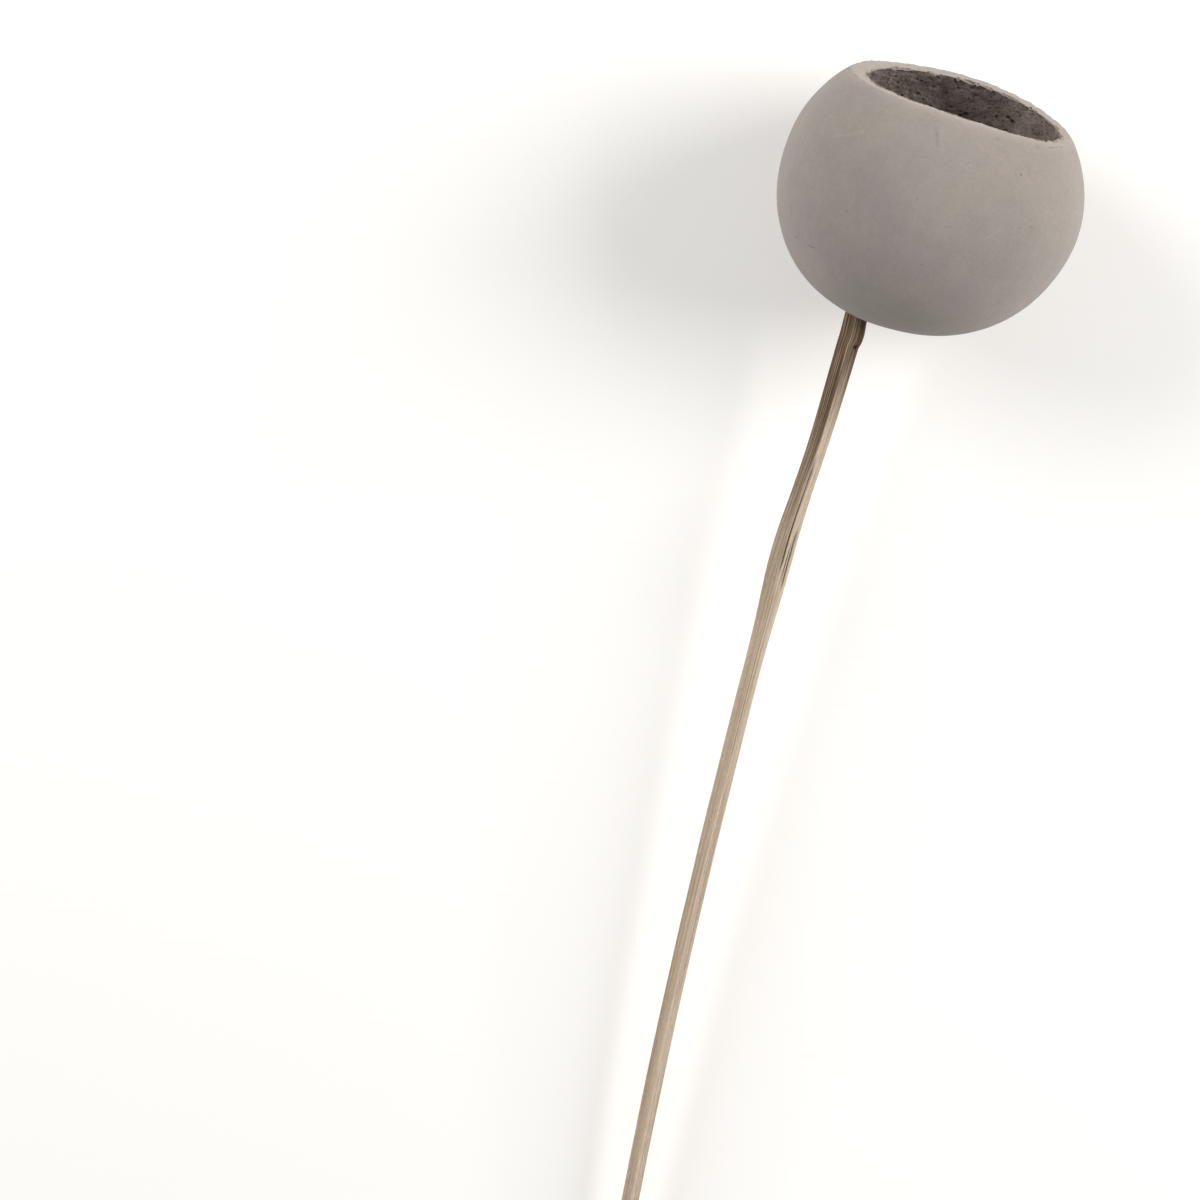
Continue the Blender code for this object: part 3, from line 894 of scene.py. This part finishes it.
def marked_paint(tree, place):
    """How dark the marks on the paint make each point: the distance to each mark, line by line. The
    place wobbles, so that no mark is straight, and a mark comes and goes along its length."""
    shake = {"Vector": place, "Scale": 1 / MARK_WOBBLE_SIZE, "Detail": 2.0}
    shake = add(tree, NOISE, shake, "Color")
    shake = add(tree, VECTOR_MATH, {0: shake, 1: (0.5, 0.5, 0.5)}, operation="SUBTRACT")
    shake = add(tree, VECTOR_MATH, {0: shake, "Scale": MARK_WOBBLE}, operation="SCALE")
    place = add(tree, VECTOR_MATH, {0: place, 1: shake}, operation="ADD")
    patches = add(tree, NOISE, {"Vector": place, "Scale": 1 / MARK_PATCH_SIZE, "Detail": 2.0})
    limits = {"From Min": 0.35, "From Max": 0.55, "To Min": 0.3, "To Max": 1.0}
    patches = add(tree, MAP_RANGE, {"Value": patches, **limits})
    total = 0.0
    for start, end, half_width, darkness in PAINT_MARKS:
        first = on_the_skin(*start)
        line = on_the_skin(*end) - first
        share = add(tree, VECTOR_MATH, {0: place, 1: first}, operation="SUBTRACT")
        if line.length > 0:
            both = {0: share, 1: line / line.length_squared}
            along = add(tree, VECTOR_MATH, both, "Value", operation="DOT_PRODUCT")
            along = add(tree, MATH, {0: along, 1: 1.0}, operation="MULTIPLY", use_clamp=True)
            nearest = add(tree, VECTOR_MATH, {0: line, "Scale": along}, operation="SCALE")
            share = add(tree, VECTOR_MATH, {0: share, 1: nearest}, operation="SUBTRACT")
        away = add(tree, VECTOR_MATH, {0: share}, "Value", operation="LENGTH")
        limits = {"From Max": half_width * MM, "To Min": darkness, "To Max": 0.0}
        mark = add(tree, MAP_RANGE, {"Value": away, **limits}, interpolation_type="SMOOTHSTEP")
        total = add(tree, MATH, {0: mark, 1: total}, operation="ADD")
    return add(tree, MATH, {0: total, 1: patches}, operation="MULTIPLY")


def chalk_painted_rind():
    """Grey chalk paint brushed on a sanded fruit rind: dead matt and even, with faint blotches, brush
    marks from pole to mouth and a few pinholes. Inside, thin paint over scraped rind, with dark pits."""
    made, tree, shader = principled("chalk_painted_rind", 0.9, "a19992", Diffuse_Roughness=0.4)
    place = add(tree, ATTRIBUTE, result="Vector", attribute_name="in_the_pod")
    inside = add(tree, ATTRIBUTE, result="Fac", attribute_name="inside")
    hollow = add(tree, ATTRIBUTE, result="Fac", attribute_name="hollow")
    rim = add(tree, ATTRIBUTE, result="Fac", attribute_name="rim")
    raw = add(tree, ATTRIBUTE, result="Fac", attribute_name="raw")

    lengthwise = add(tree, VECTOR_MATH, {0: place, 1: (1.0, 1.0, BRUSH_STRETCH)}, operation="MULTIPLY")
    # where each pattern is looked up, its size, its detail and its roughness
    patterns = (
        (place, BLOTCH_SIZE, 3.0, 0.5),
        (place, SMUDGE_SIZE, 5.0, 0.65),
        (lengthwise, BRUSH_WIDTH, 3.0, 0.6),
        (place, GRIT_SIZE, 3.0, 0.65),
    )
    blotch, smudge, brush, grit = (
        add(tree, NOISE, {"Vector": where, "Scale": 1 / size, "Detail": detail, "Roughness": rough})
        for where, size, detail, rough in patterns
    )

    paint = layered(tree, linear("9f9793"), ((blotch, 0.38, 0.62, 0.0, 1.0, "a39b94"),))
    shades = (
        (smudge, 0.3, 0.7, 0.965, 1.03),
        (brush, 0.3, 0.7, 0.985, 1.015),
        (grit, 0.3, 0.7, 0.95, 1.05),
    )
    paint = add(tree, VECTOR_MATH, {0: paint, "Scale": multiplied(tree, shades)}, operation="SCALE")
    paint = layered(tree, paint, ((rim, 0.0, 1.0, 0.0, 0.6, "aea69e"),))
    wall = layered(tree, linear("85776f"), ((smudge, 0.36, 0.62, 0.0, 1.0, "aa9e98"),))
    limits = {"From Min": LIP_PAINTED_UNTIL, "From Max": 1.0}
    within = add(tree, MAP_RANGE, {"Value": inside, **limits}, interpolation_type="SMOOTHSTEP")
    colour = add(tree, MIX, {"Factor": within, "A": paint, "B": wall}, data_type="RGBA")

    depth = add(tree, MATH, {0: hollow, 1: within}, operation="MULTIPLY")
    pits = 0.0
    for spacing, *shape in WALL_PITS:
        bend = {0: smudge.node.outputs["Color"], "Scale": WALL_PIT_BEND * spacing}
        bend = add(tree, VECTOR_MATH, bend, operation="SCALE")
        bent = add(tree, VECTOR_MATH, {0: place, 1: bend}, operation="ADD")
        pit = holes(tree, bent, spacing, *shape)
        pits = add(tree, MATH, {0: pit, 1: pits}, operation="MAXIMUM")
    pits = add(tree, MATH, {0: pits, 1: within}, operation="MULTIPLY")
    pinhole = holes(tree, place, *PINHOLES)
    marks = marked_paint(tree, place)
    marks = add(tree, MATH, {0: pinhole, 1: PINHOLE_DARKNESS, 2: marks}, operation="MULTIPLY_ADD")
    outside = add(tree, MATH, {0: 1.0, 1: within}, operation="SUBTRACT")
    marks = add(tree, MATH, {0: marks, 1: outside}, operation="MULTIPLY")
    layers = (
        (depth, 0.25, 0.8, 0.0, 0.85, "2a2320"),
        (pits, 0.0, 1.0, 0.0, 0.78, "221b19"),
        (marks, 0.0, 1.0, 0.0, 1.0, "4a413d"),
        (marks, 0.0, -1.0, 0.0, 1.0, "d8d2ca"),
        (raw, 0.0, 1.0, 0.0, 1.0, "6b5140"),
    )
    tree.links.new(layered(tree, colour, layers), shader.inputs["Base Color"])

    grit_height = {"Value": within, "To Min": GRIT_ON_PAINT, "To Max": GRIT_ON_WALL}
    grit_height = add(tree, MAP_RANGE, grit_height)
    reliefs = (
        (brush, BRUSH_DEPTH),
        (grit, grit_height),
        (marks, -MARK_DEPTH),
        (pits, -WALL_PIT_DEPTH),
    )
    embossed(tree, shader, reliefs)
    return made


def split_dry_wood():
    """A split stick left to dry: pale beige with long darker fibres, rubbed pale on its corners, and brown
    where it nears the shell, partly stain and partly painted shade from the shell. The side left of its
    ridge is painted darker as painted shade, and keeps the brown for longer."""
    made, tree, shader = principled("split_dry_wood", 0.75, "b8a48c")
    along = add(tree, ATTRIBUTE, result="Fac", attribute_name="along")
    section = add(tree, ATTRIBUTE, result="Vector", attribute_name="section")
    face = add(tree, ATTRIBUTE, result="Fac", attribute_name="face")
    hollow = add(tree, ATTRIBUTE, result="Fac", attribute_name="hollow")
    knot_hole = add(tree, ATTRIBUTE, result="Fac", attribute_name="knot_hole")
    grain = drawn_out(tree, section, along, GRAIN_LENGTH)
    flecks = drawn_out(tree, section, along, FLECK_LENGTH)
    fuzz = drawn_out(tree, section, along, FUZZ_LENGTH)
    broad = add(tree, NOISE, {"Vector": grain, "Scale": 2.2, "Detail": 2.0})
    fibres = add(tree, NOISE, {"Vector": grain, "Scale": 4.5, "Detail": 4.0, "Roughness": 0.7})
    threads = add(tree, NOISE, {"Vector": grain, "Scale": 12.0, "Detail": 3.0, "Roughness": 0.6})
    flecks = add(tree, NOISE, {"Vector": flecks, "Scale": 7.0, "Detail": 2.0})
    fuzz = add(tree, NOISE, {"Vector": fuzz, "Scale": 6.0, "Detail": 3.0, "Roughness": 0.65})
    # Which side of the ridge each point is on: the side left of it gets painted shade, a darker colour
    left = add(tree, VECTOR_MATH, {0: section, 1: LEFT_OF_RIDGE}, "Value", operation="DOT_PRODUCT")
    limits = {"From Min": -RIDGE_BLEND, "From Max": RIDGE_BLEND}
    left = add(tree, MAP_RANGE, {"Value": left, **limits}, interpolation_type="SMOOTHSTEP")
    # The brown near the shell is stain and painted shade from the shell, and it reaches further on the
    # painted-shade side left of the ridge
    until = add(tree, MAP_RANGE, {"Value": left, "To Min": STAIN_AND_SHADE_END_RIGHT, "To Max": STAIN_AND_SHADE_END_LEFT})
    stain_and_painted_shade = multiplied(tree, ((along, STAIN_AND_SHADE_START, until, 1.0, 0.0), (threads, 0.36, 0.6, 0.4, 1.5)))

    layers = (
        # painted shade: a darker colour on the side left of the ridge
        (left, 0.0, 1.0, 0.0, 1.0, "c9b59a"),
        (broad, 0.4, 0.62, 0.0, 0.5, "c6af9c"),
        (fibres, 0.5, 0.66, 0.0, 0.5, "907a5a"),
        (fibres, 0.5, 0.32, 0.0, 0.35, "d6cab0"),
        (face, 0.0, 0.16, 0.55, 0.0, "d4c7aa"),
        # stain with painted shade from the shell over it
        (stain_and_painted_shade, 0.0, 1.0, 0.0, 1.0, "624a32"),
        (flecks, 0.6, 0.75, 0.0, 0.25, "6f5a46"),
        # painted shade in the splits, darker the deeper they are
        (hollow, 0.15, 0.9, 0.0, 0.95, "4f3c2c"),
        (knot_hole, 0.2, 0.6, 0.0, 0.9, "241a14"),
    )
    wood = layered(tree, linear("cfbeab"), layers)
    shade = multiplied(tree, ((fuzz, 0.3, 0.7, 0.86, 1.1), (threads, 0.35, 0.65, 1.1, 0.86)))
    wood = add(tree, VECTOR_MATH, {0: wood, "Scale": shade}, operation="SCALE")
    tree.links.new(wood, shader.inputs["Base Color"])
    embossed(tree, shader, ((fuzz, FUZZ_RELIEF), (fibres, FIBRE_RELIEF)))
    return made


def hardened_glue():
    """Hot glue gone hard: cloudy amber, smooth, with a soft shine."""
    milky = {"IOR": 1.48, "Subsurface_Weight": 0.35, "Subsurface_Scale": GLUE_SCATTER}
    made, tree, shader = principled("hardened_hot_glue", 0.32, "d9ccb0", **milky)
    place = add(tree, "ShaderNodeTexCoord", result="Object")
    cloud = add(tree, NOISE, {"Vector": place, "Scale": 1 / GLUE_CLOUD_SIZE})
    colour = layered(tree, linear("cdbb96"), ((cloud, 0.35, 0.65, 0.0, 1.0, "e4dac4"),))
    tree.links.new(colour, shader.inputs["Base Color"])
    return made


def table():
    """A plain white table top, a little lit from below as on a photographer's table."""
    made, tree, shader = principled("white_acrylic", 0.7, "f4f3f1")
    shader.inputs["Emission Color"].default_value = (1, 1, 1, 1)
    shader.inputs["Emission Strength"].default_value = TABLE_GLOW
    form = bmesh.new()
    bmesh.ops.create_grid(form, x_segments=1, y_segments=1, size=TABLE_REACH)
    mesh = bpy.data.meshes.new("table_top")
    form.to_mesh(mesh)
    form.free()
    mesh.materials.append(made)
    placed("table_top", mesh)


def softbox(name, azimuth, power):
    """A square light that looks at the shell. Azimuth is turned from +X towards +Y."""
    data = bpy.data.lights.new(name, "AREA")
    data.shape = "SQUARE"
    data.size = SOFTBOX_SIDE
    data.energy = power
    data.color = linear("fffdfb")[:3]
    turn, rise = math.radians(azimuth), math.radians(SOFTBOX_ELEVATION)
    away = Vector((math.cos(turn) * math.cos(rise), math.sin(turn) * math.cos(rise), math.sin(rise)))
    lamp = bpy.data.objects.new(name, data)
    lamp.location = POD_PLACE + away * SOFTBOX_DISTANCE
    lamp.rotation_euler = (-away).to_track_quat("-Z", "Y").to_euler()
    bpy.context.scene.collection.objects.link(lamp)


def studio():
    """Even white surroundings, and a large soft light on either side, the right one brighter."""
    scene = bpy.context.scene
    world = bpy.data.worlds.new("white_room")
    world.use_nodes = True
    backdrop = world.node_tree.nodes["Background"]
    backdrop.inputs["Color"].default_value = linear("fffefc")
    backdrop.inputs["Strength"].default_value = ROOM_LIGHT
    scene.world = world
    softbox("right_softbox", RIGHT_AZIMUTH, RIGHT_POWER)
    softbox("left_softbox", LEFT_AZIMUTH, LEFT_POWER)
    scene.view_settings.view_transform = "Standard"


def camera():
    """Looks straight down, and puts the shell's centre on its pixel of the photograph."""
    data = bpy.data.cameras.new("camera")
    data.sensor_width = SENSOR
    data.lens = SENSOR * CAMERA_HEIGHT / (FRAME_PIXELS * PIXEL)
    data.clip_start = NEAREST_SEEN
    data.clip_end = FARTHEST_SEEN
    right = Vector((math.cos(CAMERA_ROLL), math.sin(CAMERA_ROLL), 0))
    up = Vector((-math.sin(CAMERA_ROLL), math.cos(CAMERA_ROLL), 0))
    sideways = (POD_PIXEL[0] - FRAME_PIXELS / 2) * PIXEL
    upwards = (FRAME_PIXELS / 2 - POD_PIXEL[1]) * PIXEL
    made = bpy.data.objects.new("camera", data)
    made.location = POD_PLACE - right * sideways - up * upwards + Vector((0, 0, CAMERA_HEIGHT))
    made.rotation_euler = (0, 0, CAMERA_ROLL)
    bpy.context.scene.collection.objects.link(made)
    bpy.context.scene.camera = made


camera()
studio()
table()
shell(chalk_painted_rind())
stem(split_dry_wood())
glue_bead(hardened_glue())
